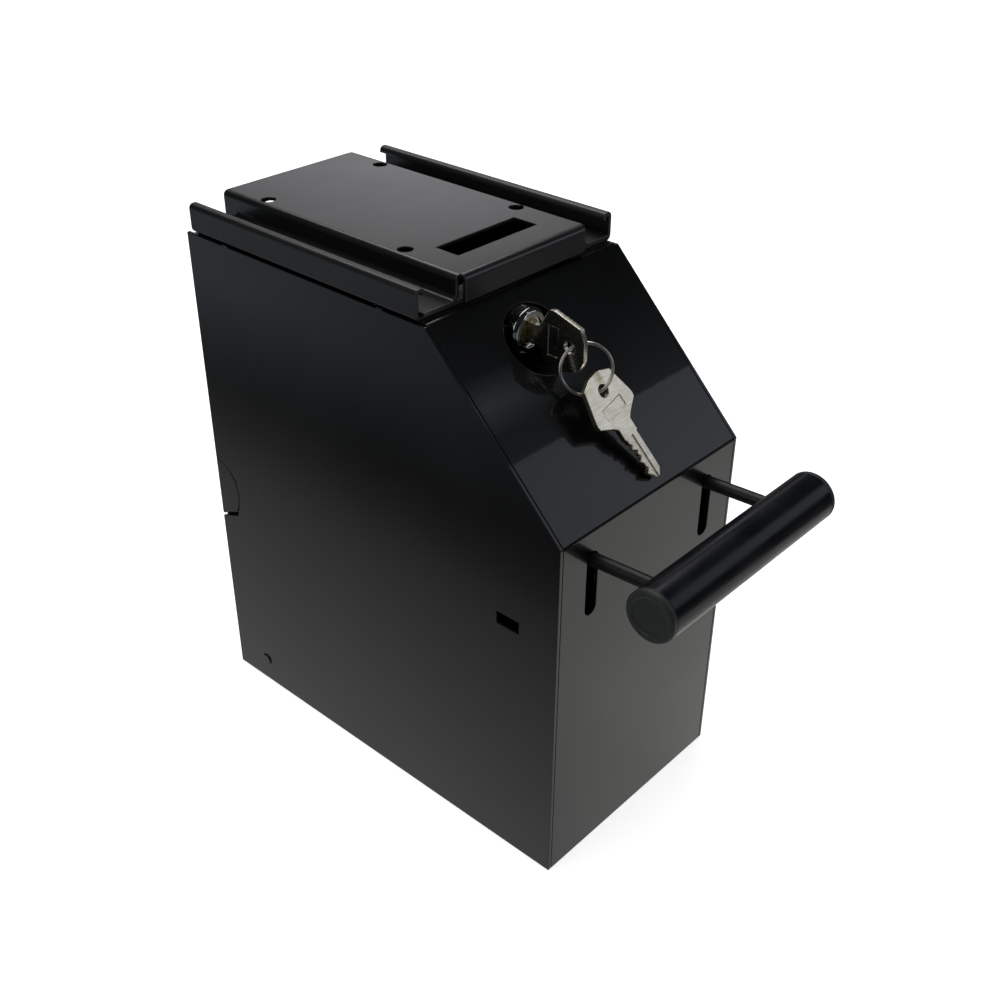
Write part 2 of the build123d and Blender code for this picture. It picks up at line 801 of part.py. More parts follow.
# Pusher plate under the rods, with the note window and two stop flanges
plate_top = -rod_dia / 2
plate_front = -(pivot_y - front_y - pusher_front)
plate_back = -(pivot_y - front_y - pusher_back)
window_front = -(pivot_y - front_y - pusher_window_front)
window_back = -(pivot_y - front_y - pusher_window_back)
with BuildPart() as pusher_plate:
    with BuildSketch(lever_plane.offset(plate_top)):
        with Locations((0, plate_front)):
            Rectangle(2 * pusher_half, plate_back - plate_front, align=(Align.CENTER, Align.MIN))
        with Locations((0, window_front)):
            Rectangle(
                2 * pusher_window_half,
                window_back - window_front,
                align=(Align.CENTER, Align.MIN),
                mode=Mode.SUBTRACT,
            )
    extrude(amount=-sheet)
    with BuildSketch(lever_plane.offset(plate_top - sheet)):
        for flange_x in (-pusher_half + sheet / 2, pusher_half - sheet / 2):
            with Locations((flange_x, plate_front)):
                Rectangle(sheet, plate_back - plate_front, align=(Align.CENTER, Align.MIN))
    extrude(amount=-pusher_flange)

# Pivot axle with its brackets and clips
with BuildPart() as pivot_axle:
    with BuildSketch(Plane.YZ.offset(-inner_half)):
        with Locations((pivot_y, pivot_z)):
            Circle(axle_dia / 2)
    extrude(amount=2 * inner_half)

bracket_plate = 18.0


def build_pivot_bracket(side):
    # A welded plate that carries one end of the axle.
    with BuildPart() as plate:
        with BuildSketch(Plane.YZ.offset(side * inner_half)):
            with Locations((pivot_y - 1.0, pivot_z)):
                RectangleRounded(bracket_plate, 1.3 * bracket_plate, 2.0)
            with Locations((pivot_y, pivot_z)):
                Circle(axle_dia / 2 + socket_fit, mode=Mode.SUBTRACT)
        extrude(amount=-side * sheet)
    return plate


left_pivot_bracket = build_pivot_bracket(-1)

right_pivot_bracket = build_pivot_bracket(1)

with BuildPart() as axle_clips:
    for side in (-1, 1):
        with BuildSketch(Plane.YZ.offset(side * (inner_half - sheet))):
            with Locations((pivot_y, pivot_z)):
                Circle(clip_dia / 2)
                Circle(axle_dia / 2 + socket_fit, mode=Mode.SUBTRACT)
        extrude(amount=-side * clip_thickness)

# Return springs between the rod eyes and the anchors under the deck
anchor_bottom = deck_bottom - sheet - anchor_drop
with BuildPart() as spring_anchors:
    with BuildSketch(Plane.XY.offset(deck_bottom - sheet)):
        with Locations((-lever_rod_x, spring_y), (lever_rod_x, spring_y)):
            Rectangle(anchor_base, anchor_base + 2)
    extrude(amount=sheet)
    for anchor_x in (-lever_rod_x, lever_rod_x):
        with BuildSketch(Plane.YZ.offset(anchor_x - sheet / 2)):
            with Locations((spring_y, anchor_bottom)):
                Rectangle(eye_depth, anchor_drop, align=(Align.CENTER, Align.MIN))
        extrude(amount=sheet)

with BuildPart() as left_return_spring:
    with BuildSketch(Plane.XY.offset(spring_bottom)):
        with Locations((-lever_rod_x, spring_y)):
            Circle(spring_dia / 2)
    extrude(amount=anchor_bottom - spring_bottom)

with BuildPart() as right_return_spring:
    with BuildSketch(Plane.XY.offset(spring_bottom)):
        with Locations((lever_rod_x, spring_y)):
            Circle(spring_dia / 2)
    extrude(amount=anchor_bottom - spring_bottom)

nodes = {
    "left_side_panel": left_side_panel,
    "right_side_panel": right_side_panel,
    "front_panel": front_panel,
    "floor_panel": floor_panel,
    "floor_rivets": floor_rivets,
    "rear_door": rear_door,
    "door_hinge_pin": door_hinge_pin,
    "deck_track": deck_track,
    "mounting_bracket": mounting_bracket,
    "lock_bracket": lock_bracket,
    "lock_body": lock_body,
    "lock_washer": lock_washer,
    "lock_nut": lock_nut,
    "lock_plug": lock_plug,
    "lock_cam": lock_cam,
    "cam_screw": cam_screw,
    "lock_key": lock_key,
    "key_ring": key_ring,
    "spare_key": spare_key,
    "handle_tube": handle_tube,
    "left_end_cap": left_end_cap,
    "right_end_cap": right_end_cap,
    "left_lever_rod": left_lever_rod,
    "right_lever_rod": right_lever_rod,
    "pivot_sleeve": pivot_sleeve,
    "pusher_plate": pusher_plate,
    "pivot_axle": pivot_axle,
    "left_pivot_bracket": left_pivot_bracket,
    "right_pivot_bracket": right_pivot_bracket,
    "axle_clips": axle_clips,
    "spring_anchors": spring_anchors,
    "left_return_spring": left_return_spring,
    "right_return_spring": right_return_spring,
}
for name, node in nodes.items():
    node.part.label = name
    export_step(node.part, f"parts/{name}.step")
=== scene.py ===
import bpy
import bmesh
import math
from mathutils import Matrix, Vector


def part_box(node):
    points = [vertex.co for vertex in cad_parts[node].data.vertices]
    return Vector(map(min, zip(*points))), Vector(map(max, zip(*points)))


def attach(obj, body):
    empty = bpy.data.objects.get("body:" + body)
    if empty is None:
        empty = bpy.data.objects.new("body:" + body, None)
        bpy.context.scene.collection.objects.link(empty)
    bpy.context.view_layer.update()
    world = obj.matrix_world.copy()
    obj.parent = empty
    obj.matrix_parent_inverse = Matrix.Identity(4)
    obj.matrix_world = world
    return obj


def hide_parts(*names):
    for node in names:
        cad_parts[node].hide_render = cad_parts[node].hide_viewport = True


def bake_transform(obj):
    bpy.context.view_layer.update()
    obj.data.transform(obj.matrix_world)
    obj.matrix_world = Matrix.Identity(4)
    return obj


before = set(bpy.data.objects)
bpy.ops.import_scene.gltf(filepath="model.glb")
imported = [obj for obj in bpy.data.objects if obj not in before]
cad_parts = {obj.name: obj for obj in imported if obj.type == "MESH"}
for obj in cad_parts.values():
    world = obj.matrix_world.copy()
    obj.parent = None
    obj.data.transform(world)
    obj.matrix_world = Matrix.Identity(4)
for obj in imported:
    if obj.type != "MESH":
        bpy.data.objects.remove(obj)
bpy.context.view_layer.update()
print("frame loaded:", len(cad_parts), "nodes")

mm = 0.001  # the scene is in metres


def hexToLinear(text):
    # sRGB hex to the linear colour that a shader socket takes
    channels = [int(text[i:i + 2], 16) / 255 for i in (1, 3, 5)]
    linear = [c / 12.92 if c <= 0.04045 else ((c + 0.055) / 1.055) ** 2.4 for c in channels]
    return (linear[0], linear[1], linear[2], 1.0)


def grey(value):
    return (value, value, value, 1.0)


def patternScale(sizeMm):
    # Noise scale whose blobs are about this many millimetres across
    return 1 / (sizeMm * mm)


def addNode(tree, kind, settings=None, links=None):
    # settings: attribute or input name to value; links: input name to output socket
    node = tree.nodes.new(kind)
    for key, value in (settings or {}).items():
        if isinstance(key, int) or key in node.inputs:
            node.inputs[key].default_value = value
        else:
            setattr(node, key, value)
    for key, socket in (links or {}).items():
        tree.links.new(socket, node.inputs[key])
    return node


def newMaterial(name):
    material = bpy.data.materials.new(name)
    material.use_nodes = True
    material.node_tree.nodes.clear()
    return material, material.node_tree


def setRamp(node, stops):
    ramp = node.color_ramp
    while len(ramp.elements) > 1:
        ramp.elements.remove(ramp.elements[-1])
    ramp.elements[0].position = stops[0][0]
    ramp.elements[0].color = stops[0][1]
    for position, colour in stops[1:]:
        ramp.elements.new(position).color = colour
    return node


# Finishes. Sizes ending in Mm are real millimetres, stops are where a noise value starts and ends
# its change, and shares say how much of a mask or height is used.

coatDetail = {
    "toneStops": (0.3, 0.7), "dustStops": (0.70, 0.78), "dustShare": 0.10, "edgeShare": 0.75,
    "smoother": 0.04, "rougher": 0.05, "peelHeightMm": 0.05, "skinHeightMm": 0.02, "skinShare": 0.3}


def powderCoat(name, look):
    # Polyester powder coat on sheet steel: an even black with a satin haze under a levelled skin
    # that mirrors faintly, dipping a little like orange peel; a shade lighter along its rounded edges,
    # partly worn coat and partly a painted highlight.
    detail = coatDetail
    material, tree = newMaterial(name)
    place = addNode(tree, "ShaderNodeTexCoord")
    peel = addNode(tree, "ShaderNodeTexNoise",
                   {"Scale": patternScale(look["peelMm"]), "Detail": 2.0, "Roughness": 0.45},
                   {"Vector": place.outputs["Object"]})
    cloud = addNode(tree, "ShaderNodeTexNoise", {"Scale": patternScale(look["cloudMm"]), "Detail": 3.0},
                    {"Vector": place.outputs["Object"]})
    dust = addNode(tree, "ShaderNodeTexNoise", {"Scale": patternScale(look["dustMm"]), "Detail": 1.0},
                   {"Vector": place.outputs["Object"]})
    dustMask = setRamp(addNode(tree, "ShaderNodeValToRGB", None, {"Fac": dust.outputs["Fac"]}),
                       [(detail["dustStops"][0], grey(0)), (detail["dustStops"][1], grey(1))])
    tone = setRamp(addNode(tree, "ShaderNodeValToRGB", None, {"Fac": cloud.outputs["Fac"]}),
                   [(detail["toneStops"][0], hexToLinear(look["dark"])),
                    (detail["toneStops"][1], hexToLinear(look["light"]))])
    # The rounded edges get the lighter edge colour: worn coat and a painted highlight
    edge = addNode(tree, "ShaderNodeAttribute", {"attribute_name": "edgeWearAndHighlight"})
    edgeMask = addNode(tree, "ShaderNodeMath", {"operation": "MULTIPLY", 1: detail["edgeShare"]},
                       {0: edge.outputs["Fac"]})
    wornAndHighlit = addNode(tree, "ShaderNodeMix", {"data_type": "RGBA", 7: hexToLinear(look["edge"])},
                   {0: edgeMask.outputs[0], 6: tone.outputs["Color"]})
    dusty = addNode(tree, "ShaderNodeMath", {"operation": "MULTIPLY", 1: detail["dustShare"]},
                    {0: dustMask.outputs["Color"]})
    colour = addNode(tree, "ShaderNodeMix", {"data_type": "RGBA", 7: hexToLinear(look["dust"])},
                     {0: dusty.outputs[0], 6: wornAndHighlit.outputs[2]})
    rough = addNode(tree, "ShaderNodeMapRange",
                    {"From Min": detail["toneStops"][0], "From Max": detail["toneStops"][1],
                     "To Min": look["rough"] - detail["smoother"],
                     "To Max": look["rough"] + detail["rougher"]},
                    {"Value": cloud.outputs["Fac"]})
    bump = addNode(tree, "ShaderNodeBump",
                   {"Strength": look["peelDepth"], "Distance": detail["peelHeightMm"] * mm},
                   {"Height": peel.outputs["Fac"]})
    skin = addNode(tree, "ShaderNodeBump",
                   {"Strength": look["peelDepth"] * detail["skinShare"],
                    "Distance": detail["skinHeightMm"] * mm},
                   {"Height": peel.outputs["Fac"]})
    shader = addNode(tree, "ShaderNodeBsdfPrincipled",
                     {"IOR": look["ior"], "Specular IOR Level": look["haze"], "Coat Weight": look["skin"],
                      "Coat Roughness": look["skinRough"], "Coat IOR": look["ior"]},
                     {"Base Color": colour.outputs[2], "Roughness": rough.outputs[0],
                      "Normal": bump.outputs[0], "Coat Normal": skin.outputs[0]})
    addNode(tree, "ShaderNodeOutputMaterial", None, {"Surface": shader.outputs[0]})
    return material


# The deepest black, with the clearest mirror skin: the slope and sides show the room in it
bodyPaint = powderCoat("powder coated sheet steel, body", {
    "peelMm": 1.3, "peelDepth": 0.22, "cloudMm": 60, "dustMm": 0.9,
    "dark": "#040404", "light": "#070808", "edge": "#17191a", "dust": "#3a3a38",
    "rough": 0.32, "ior": 1.5, "haze": 0.30, "skin": 0.60, "skinRough": 0.035})
# A duller coat, so that the rolled rails carry a wide soft light
trackPaint = powderCoat("powder coated sheet steel, track", {
    "peelMm": 1.1, "peelDepth": 0.20, "cloudMm": 40, "dustMm": 0.8,
    "dark": "#08090a", "light": "#0d0e0f", "edge": "#1f2224", "dust": "#4a4b4c",
    "rough": 0.44, "ior": 1.5, "haze": 0.6, "skin": 0.35, "skinRough": 0.22})
# A satin coat: its flat top is greyed by the panel behind the safe
bracketPaint = powderCoat("powder coated sheet steel, mounting bracket", {
    "peelMm": 1.1, "peelDepth": 0.22, "cloudMm": 40, "dustMm": 0.8,
    "dark": "#090a0a", "light": "#0e0f10", "edge": "#232527", "dust": "#505153",
    "rough": 0.36, "ior": 1.5, "haze": 0.6, "skin": 0.4, "skinRough": 0.10})
# The body's coat, a touch less even
doorPaint = powderCoat("powder coated sheet steel, rear door", {
    "peelMm": 1.3, "peelDepth": 0.22, "cloudMm": 55, "dustMm": 0.9,
    "dark": "#040404", "light": "#070808", "edge": "#17191a", "dust": "#3a3a38",
    "rough": 0.33, "ior": 1.5, "haze": 0.30, "skin": 0.60, "skinRough": 0.035})


metalDetail = {"stainStops": (0.3, 0.68), "lineStops": (0.3, 0.7), "smoothShare": 0.75, "roughShare": 1.3,
               "lineHeightMm": 0.02}


def platedMetal(name, look):
    # Bare or plated metal: fine drawn or turned lines, a slow change of tone from plating and
    # handling, and a roughness that breaks a highlight up along the lines.
    detail = metalDetail
    material, tree = newMaterial(name)
    place = addNode(tree, "ShaderNodeTexCoord")
    turned = addNode(tree, "ShaderNodeMapping",
                     {"Rotation": tuple(math.radians(a) for a in look["turn"]), "Scale": look["stretch"]},
                     {"Vector": place.outputs["Object"]})
    lines = addNode(tree, "ShaderNodeTexNoise",
                    {"Scale": patternScale(look["lineMm"]), "Detail": 3.0, "Roughness": 0.6},
                    {"Vector": turned.outputs[0]})
    stain = addNode(tree, "ShaderNodeTexNoise",
                    {"Scale": patternScale(look["stainMm"]), "Detail": 4.0, "Distortion": 0.4},
                    {"Vector": place.outputs["Object"]})
    tone = setRamp(addNode(tree, "ShaderNodeValToRGB", None, {"Fac": stain.outputs["Fac"]}),
                   [(detail["stainStops"][0], hexToLinear(look["dark"])),
                    (detail["stainStops"][1], hexToLinear(look["light"]))])
    rough = addNode(tree, "ShaderNodeMapRange",
                    {"From Min": detail["lineStops"][0], "From Max": detail["lineStops"][1],
                     "To Min": look["rough"] * detail["smoothShare"],
                     "To Max": look["rough"] * detail["roughShare"]},
                    {"Value": lines.outputs["Fac"]})
    bump = addNode(tree, "ShaderNodeBump",
                   {"Strength": look["lineDepth"], "Distance": detail["lineHeightMm"] * mm},
                   {"Height": lines.outputs["Fac"]})
    shader = addNode(tree, "ShaderNodeBsdfPrincipled", {"Metallic": 1.0},
                     {"Base Color": tone.outputs["Color"], "Roughness": rough.outputs[0],
                      "Normal": bump.outputs[0]})
    addNode(tree, "ShaderNodeOutputMaterial", None, {"Surface": shader.outputs[0]})
    return material


# Dull grey-blue passivated zinc with a faint grain along the pressings
innerZinc = platedMetal("zinc plated steel, inner parts", {
    "turn": (0, 0, 0), "stretch": (1, 1, 0.3), "lineMm": 0.5, "stainMm": 9,
    "dark": "#7f858a", "light": "#a9adb0", "rough": 0.38, "lineDepth": 0.25})
# Bright plating over a turned casting: a hard pale crescent, and black where it mirrors the coat
lockChrome = platedMetal("bright nickel plated zinc, lock head", {
    "turn": (0, 0, 0), "stretch": (1, 3, 1), "lineMm": 0.4, "stainMm": 5,
    "dark": "#c9c7c1", "light": "#e4e3df", "rough": 0.10, "lineDepth": 0.08})
# Brass rubbed by the key: a dull yellow glint at the bottom of the lock
plugBrass = platedMetal("worn brass, lock plug", {
    "turn": (0, 0, 0), "stretch": (1, 3, 1), "lineMm": 0.4, "stainMm": 2.5,
    "dark": "#8d7a4c", "light": "#c7b27c", "rough": 0.24, "lineDepth": 0.25})
# Both keys have flat faces brushed along the blade. The brushing is really about 0.05 mm apart;
# it is drawn at 0.35 mm so that it shows.
lockKeyNickel = platedMetal("brushed nickel silver, lock key", {
    "turn": (0, 0, 0), "stretch": (1, 0.06, 1), "lineMm": 0.35, "stainMm": 6,
    "dark": "#c4c0b4", "light": "#e2dfd4", "rough": 0.24, "lineDepth": 0.04})
# The spare key's nickel is painted lighter and warmer than the lock key's: painted light standing in for
# the bright reflection it shows
spareKeyNickelPaintedBright = platedMetal("brushed nickel silver, spare key, painted brighter", {
    "turn": (0, 41, 52), "stretch": (0.06, 1, 1), "lineMm": 0.35, "stainMm": 6,
    "dark": "#e2d8bf", "light": "#fbf4df", "rough": 0.30, "lineDepth": 0.04})
# Wire dulled by handling: pale all round, with no sharp glint
ringSteel = platedMetal("polished steel wire, key ring", {
    "turn": (0, 0, 0), "stretch": (1, 1, 1), "lineMm": 0.6, "stainMm": 4,
    "dark": "#dedad0", "light": "#f2efe6", "rough": 0.36, "lineDepth": 0.06})
# Drawn wire: dark, with a thin line of light on each turn
springSteel = platedMetal("drawn spring wire", {
    "turn": (0, 0, 0), "stretch": (1, 1, 1), "lineMm": 0.4, "stainMm": 5,
    "dark": "#66696c", "light": "#8e9194", "rough": 0.30, "lineDepth": 0.2})


blackDetail = {"toneStops": (0.35, 0.7), "edgeShare": 0.6, "rubStops": (0.3, 0.7), "smoother": 0.04,
               "rougher": 0.06, "grainHeightMm": 0.04}


def blackPart(name, look):
    # Smooth black moulding or blackened steel: gloss drawn out along its length, faint rubbing,
    # and rounded edges a shade lighter, partly wear and partly a painted highlight.
    detail = blackDetail
    material, tree = newMaterial(name)
    place = addNode(tree, "ShaderNodeTexCoord")
    drawn = addNode(tree, "ShaderNodeMapping", {"Scale": look["stretch"]},
                    {"Vector": place.outputs["Object"]})
    grain = addNode(tree, "ShaderNodeTexNoise", {"Scale": patternScale(look["grainMm"]), "Detail": 3.0},
                    {"Vector": drawn.outputs[0]})
    rub = addNode(tree, "ShaderNodeTexNoise",
                  {"Scale": patternScale(look["rubMm"]), "Detail": 4.0, "Distortion": 0.6},
                  {"Vector": place.outputs["Object"]})
    tone = setRamp(addNode(tree, "ShaderNodeValToRGB", None, {"Fac": rub.outputs["Fac"]}),
                   [(detail["toneStops"][0], hexToLinear(look["dark"])),
                    (detail["toneStops"][1], hexToLinear(look["light"]))])
    # The rounded edges get the lighter edge colour: worn coat and a painted highlight
    edge = addNode(tree, "ShaderNodeAttribute", {"attribute_name": "edgeWearAndHighlight"})
    edgeMask = addNode(tree, "ShaderNodeMath", {"operation": "MULTIPLY", 1: detail["edgeShare"]},
                       {0: edge.outputs["Fac"]})
    wornAndHighlit = addNode(tree, "ShaderNodeMix", {"data_type": "RGBA", 7: hexToLinear(look["edge"])},
                   {0: edgeMask.outputs[0], 6: tone.outputs["Color"]})
    rough = addNode(tree, "ShaderNodeMapRange",
                    {"From Min": detail["rubStops"][0], "From Max": detail["rubStops"][1],
                     "To Min": look["rough"] - detail["smoother"],
                     "To Max": look["rough"] + detail["rougher"]},
                    {"Value": rub.outputs["Fac"]})
    bump = addNode(tree, "ShaderNodeBump",
                   {"Strength": look["grainDepth"], "Distance": detail["grainHeightMm"] * mm},
                   {"Height": grain.outputs["Fac"]})
    shader = addNode(tree, "ShaderNodeBsdfPrincipled",
                     {"IOR": look["ior"], "Specular IOR Level": look["haze"]},
                     {"Base Color": wornAndHighlit.outputs[2], "Roughness": rough.outputs[0],
                      "Normal": bump.outputs[0]})
    addNode(tree, "ShaderNodeOutputMaterial", None, {"Surface": shader.outputs[0]})
    return material


# Blue-black and smooth: one soft light along the tube, and a thin pale line at its lower edge
handleSleeve = blackPart("smooth black coated tube, handle", {
    "stretch": (0.15, 1, 1), "grainMm": 0.8, "rubMm": 18, "grainDepth": 0.05,
    "dark": "#0d0f13", "light": "#12141a", "edge": "#2a2c2e", "rough": 0.25, "ior": 1.5, "haze": 0.28})
# A fine matt mould texture: an even dark grey with hardly any gloss
capPlastic = blackPart("moulded black nylon, end caps", {
    "stretch": (1, 1, 1), "grainMm": 0.45, "rubMm": 8, "grainDepth": 0.30,
    "dark": "#202222", "light": "#272929", "edge": "#2a2d2d", "rough": 0.50, "ior": 1.5, "haze": 0.5})
# Chemically blackened bar: dark and satin, with a dim streak along the top
rodBlack = blackPart("blackened steel, lever rods", {
    "stretch": (1, 0.1, 1), "grainMm": 0.5, "rubMm": 12, "grainDepth": 0.05,
    "dark": "#101112", "light": "#161718", "edge": "#2a2b2c", "rough": 0.38, "ior": 1.5, "haze": 0.35})
print("finishes made")

nodeFinish = {
    "left_side_panel": bodyPaint, "right_side_panel": bodyPaint, "front_panel": bodyPaint,
    "floor_panel": bodyPaint, "floor_rivets": bodyPaint, "lock_bracket": bodyPaint,
    "rear_door": doorPaint, "door_hinge_pin": innerZinc, "deck_track": trackPaint,
    "mounting_bracket": bracketPaint, "lock_body": lockChrome, "lock_washer": innerZinc,
    "lock_nut": innerZinc, "lock_plug": plugBrass, "lock_cam": innerZinc, "cam_screw": innerZinc,
    "lock_key": lockKeyNickel, "key_ring": ringSteel, "spare_key": spareKeyNickelPaintedBright,
    "handle_tube": handleSleeve, "left_end_cap": capPlastic, "right_end_cap": capPlastic,
    "left_lever_rod": rodBlack, "right_lever_rod": rodBlack, "pivot_sleeve": innerZinc,
    "pusher_plate": innerZinc, "pivot_axle": innerZinc, "left_pivot_bracket": innerZinc,
    "right_pivot_bracket": innerZinc, "axle_clips": springSteel, "spring_anchors": innerZinc,
    "left_return_spring": springSteel, "right_return_spring": springSteel,
}
for nodeName, finish in nodeFinish.items():
    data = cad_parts[nodeName].data
    data.materials.clear()
    data.materials.append(finish)


def newObject(name, bm, finish):
    mesh = bpy.data.meshes.new(name)
    bm.to_mesh(mesh)
    bm.free()
    made = bpy.data.objects.new(name, mesh)
    bpy.context.scene.collection.objects.link(made)
    mesh.materials.append(finish)
    return made


def placePiece(name, bm, body, replaced):
    # body is None for a piece that bends between two bodies
    piece = newObject(name, bm, nodeFinish[replaced])
    if body:
        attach(piece, body)
    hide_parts(replaced)
    return piece


# How edges are rounded and shaded; flatWeight is how far large faces set the shading
softening = {"segments": 2, "sharpDegrees": 35, "smoothDegrees": 50, "mergeMm": 0.0005,
             "flatDegrees": 0.6, "flatWeight": 100}
# Sheet metal, moulded and turned pieces whose edges catch the light: body, slot, edge width in mm
softened = {
    "left_side_panel": ("safe", "body_paint", 0.25), "right_side_panel": ("safe", "body_paint", 0.25),
    "front_panel": ("safe", "body_paint", 0.25), "floor_panel": ("safe", "body_paint", 0.2),
    "rear_door": ("door", "door_paint", 0.25), "deck_track": ("safe", "track_paint", 0.3),
    "mounting_bracket": ("bracket", "bracket_paint", 0.3), "lock_bracket": ("safe", "body_paint", 0.2),
    "pusher_plate": ("lever", "inner_zinc", 0.25), "lock_key": ("lock", "key_nickel", 0.22),
    "spare_key": ("spare", "key_nickel", 0.22), "lock_body": ("safe", "lock_chrome", 0.2),
    "left_end_cap": ("lever", "cap_plastic", 0.2), "right_end_cap": ("lever", "cap_plastic", 0.2),
    "handle_tube": ("lever", "handle_sleeve", 0.3), "lock_cam": ("lock", "inner_zinc", 0.2),
}


def wholeFaces(nodeName):
    # The CAD node's shape with its triangles merged back into whole faces
    bm = bmesh.new()
    bm.from_mesh(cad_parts[nodeName].data)
    bmesh.ops.remove_doubles(bm, verts=bm.verts, dist=softening["mergeMm"] * mm)
    bmesh.ops.dissolve_limit(bm, angle_limit=math.radians(softening["flatDegrees"]),
                             verts=bm.verts, edges=bm.edges)
    return bm


def softenEdges(bm, widthMm):
    # Rounds every sharp edge a little, inside the shape's own box, and marks the new faces for the lighter
    # edge colour: worn coat and a painted highlight
    low = [min(v.co[i] for v in bm.verts) for i in range(3)]
    high = [max(v.co[i] for v in bm.verts) for i in range(3)]
    wearAndHighlight = bm.faces.layers.float.new("edgeWearAndHighlight")
    sharp = [e for e in bm.edges
             if e.is_manifold and e.calc_face_angle(0) > math.radians(softening["sharpDegrees"])]
    done = bmesh.ops.bevel(bm, geom=sharp, offset=widthMm * mm, offset_type="OFFSET", affect="EDGES",
                           segments=softening["segments"], profile=0.5, material=-1, clamp_overlap=False)
    for face in done["faces"]:
        face[wearAndHighlight] = 1.0
    for v in bm.verts:
        v.co = Vector([min(max(v.co[i], low[i]), high[i]) for i in range(3)])
    return bm


for nodeName, (body, slotName, width) in softened.items():
    shape = softenEdges(wholeFaces(nodeName), width)
    piece = placePiece(nodeName + "_softened", shape, body, nodeName)
    piece.data.shade_smooth()
    weighted = piece.modifiers.new("weighted normals", "WEIGHTED_NORMAL")
    weighted.mode = "FACE_AREA"
    weighted.weight = softening["flatWeight"]
    weighted.keep_sharp = True
    piece.data.set_sharp_from_angle(angle=math.radians(softening["smoothDegrees"]))
    print("softened", nodeName, len(piece.data.polygons), "faces")


# Return springs of wound wire, which stretch between the safe and the lever; sizes in mm
spring = {"wire": 0.9, "outer": 7.0, "pitch": 1.35, "sides": 10, "stepsPerTurn": 20}
for side in ("left", "right"):
    nodeName = side + "_return_spring"
    low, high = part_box(nodeName)
    centre = (Vector(low) + Vector(high)) / 2
    wireRadius = spring["wire"] / 2 * mm
    coilRadius = (spring["outer"] - spring["wire"]) / 2 * mm
    length = high[2] - low[2] - 2 * wireRadius
    turns = round(length / (spring["pitch"] * mm))
    steps = turns * spring["stepsPerTurn"]
    bm = bmesh.new()
    made = bmesh.ops.create_circle(bm, cap_ends=False, segments=spring["sides"], radius=wireRadius)
    bmesh.ops.rotate(bm, verts=made["verts"], cent=(0, 0, 0), matrix=Matrix.Rotation(math.pi / 2, 3, "X"))
    bmesh.ops.translate(bm, verts=made["verts"], vec=(centre.x + coilRadius, centre.y, low[2] + wireRadius))
    firstEnd = bm.edges[:]
    spun = bmesh.ops.spin(bm, geom=firstEnd, cent=(centre.x, centre.y, 0), axis=(0, 0, 1),
                          dvec=(0, 0, length / steps), angle=turns * 2 * math.pi, steps=steps)
    lastEnd = [e for e in spun["geom_last"] if isinstance(e, bmesh.types.BMEdge)]
    for wireEnd in (firstEnd, lastEnd):
        bmesh.ops.contextual_create(bm, geom=wireEnd)
    bmesh.ops.recalc_face_normals(bm, faces=bm.faces)
    piece = placePiece(side + "_spring_coil", bm, None, nodeName)
    piece.data.shade_smooth()
    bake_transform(piece)
print("springs wound")


# Camera at the photograph's place: angles in degrees, lens, sensor and place in mm
view = {"azimuth": -48.08, "elevation": 32.42, "roll": 0.44, "lens": 46.08, "sensor": 36,
        "place": (-315.5, -282.45, 382.65), "clipStart": 10}
azimuth, elevation, roll = (math.radians(view[k]) for k in ("azimuth", "elevation", "roll"))
back = Vector((math.sin(azimuth) * math.cos(elevation), -math.cos(azimuth) * math.cos(elevation),
               math.sin(elevation)))
right = Vector((math.cos(azimuth), math.sin(azimuth), 0))
up = back.cross(right)
rolledRight = right * math.cos(roll) + up * math.sin(roll)
rolledUp = up * math.cos(roll) - right * math.sin(roll)
cameraData = bpy.data.cameras.new("photo camera")
cameraData.lens = view["lens"]
cameraData.sensor_width = view["sensor"]
cameraData.sensor_fit = "HORIZONTAL"
cameraData.clip_start = view["clipStart"] * mm
camera = bpy.data.objects.new("photo camera", cameraData)
bpy.context.scene.collection.objects.link(camera)
cameraPlace = Matrix((rolledRight, rolledUp, back)).transposed().to_4x4()
cameraPlace.translation = Vector(view["place"]) * mm
camera.matrix_world = cameraPlace
bpy.context.scene.camera = camera
print("camera placed")


# Studio. Its sizes are in metres, and its colours are linear levels of light.

def stageObject(name, bm, finish, height=0):
    piece = newObject(name, bm, finish)
    piece.location = (0, 0, height)
    return piece


def mirrorOnly(piece):
    # Seen only in mirrored rays, so it shapes the gloss of the paint and neither shades nor hides anything
    piece.visible_camera = False
    piece.visible_diffuse = False
    piece.visible_transmission = False
    piece.visible_volume_scatter = False
    piece.visible_shadow = False


def seenRays(tree):
    # 1 for the rays that see the white background: the camera's, mirrored ones and those through glass
    path = addNode(tree, "ShaderNodeLightPath")
    mirroredToo = addNode(tree, "ShaderNodeMath", {"operation": "MAXIMUM"},
                          {0: path.outputs["Is Camera Ray"], 1: path.outputs["Is Glossy Ray"]})
    return addNode(tree, "ShaderNodeMath", {"operation": "MAXIMUM"},
                   {0: mirroredToo.outputs[0], 1: path.outputs["Is Transmission Ray"]})


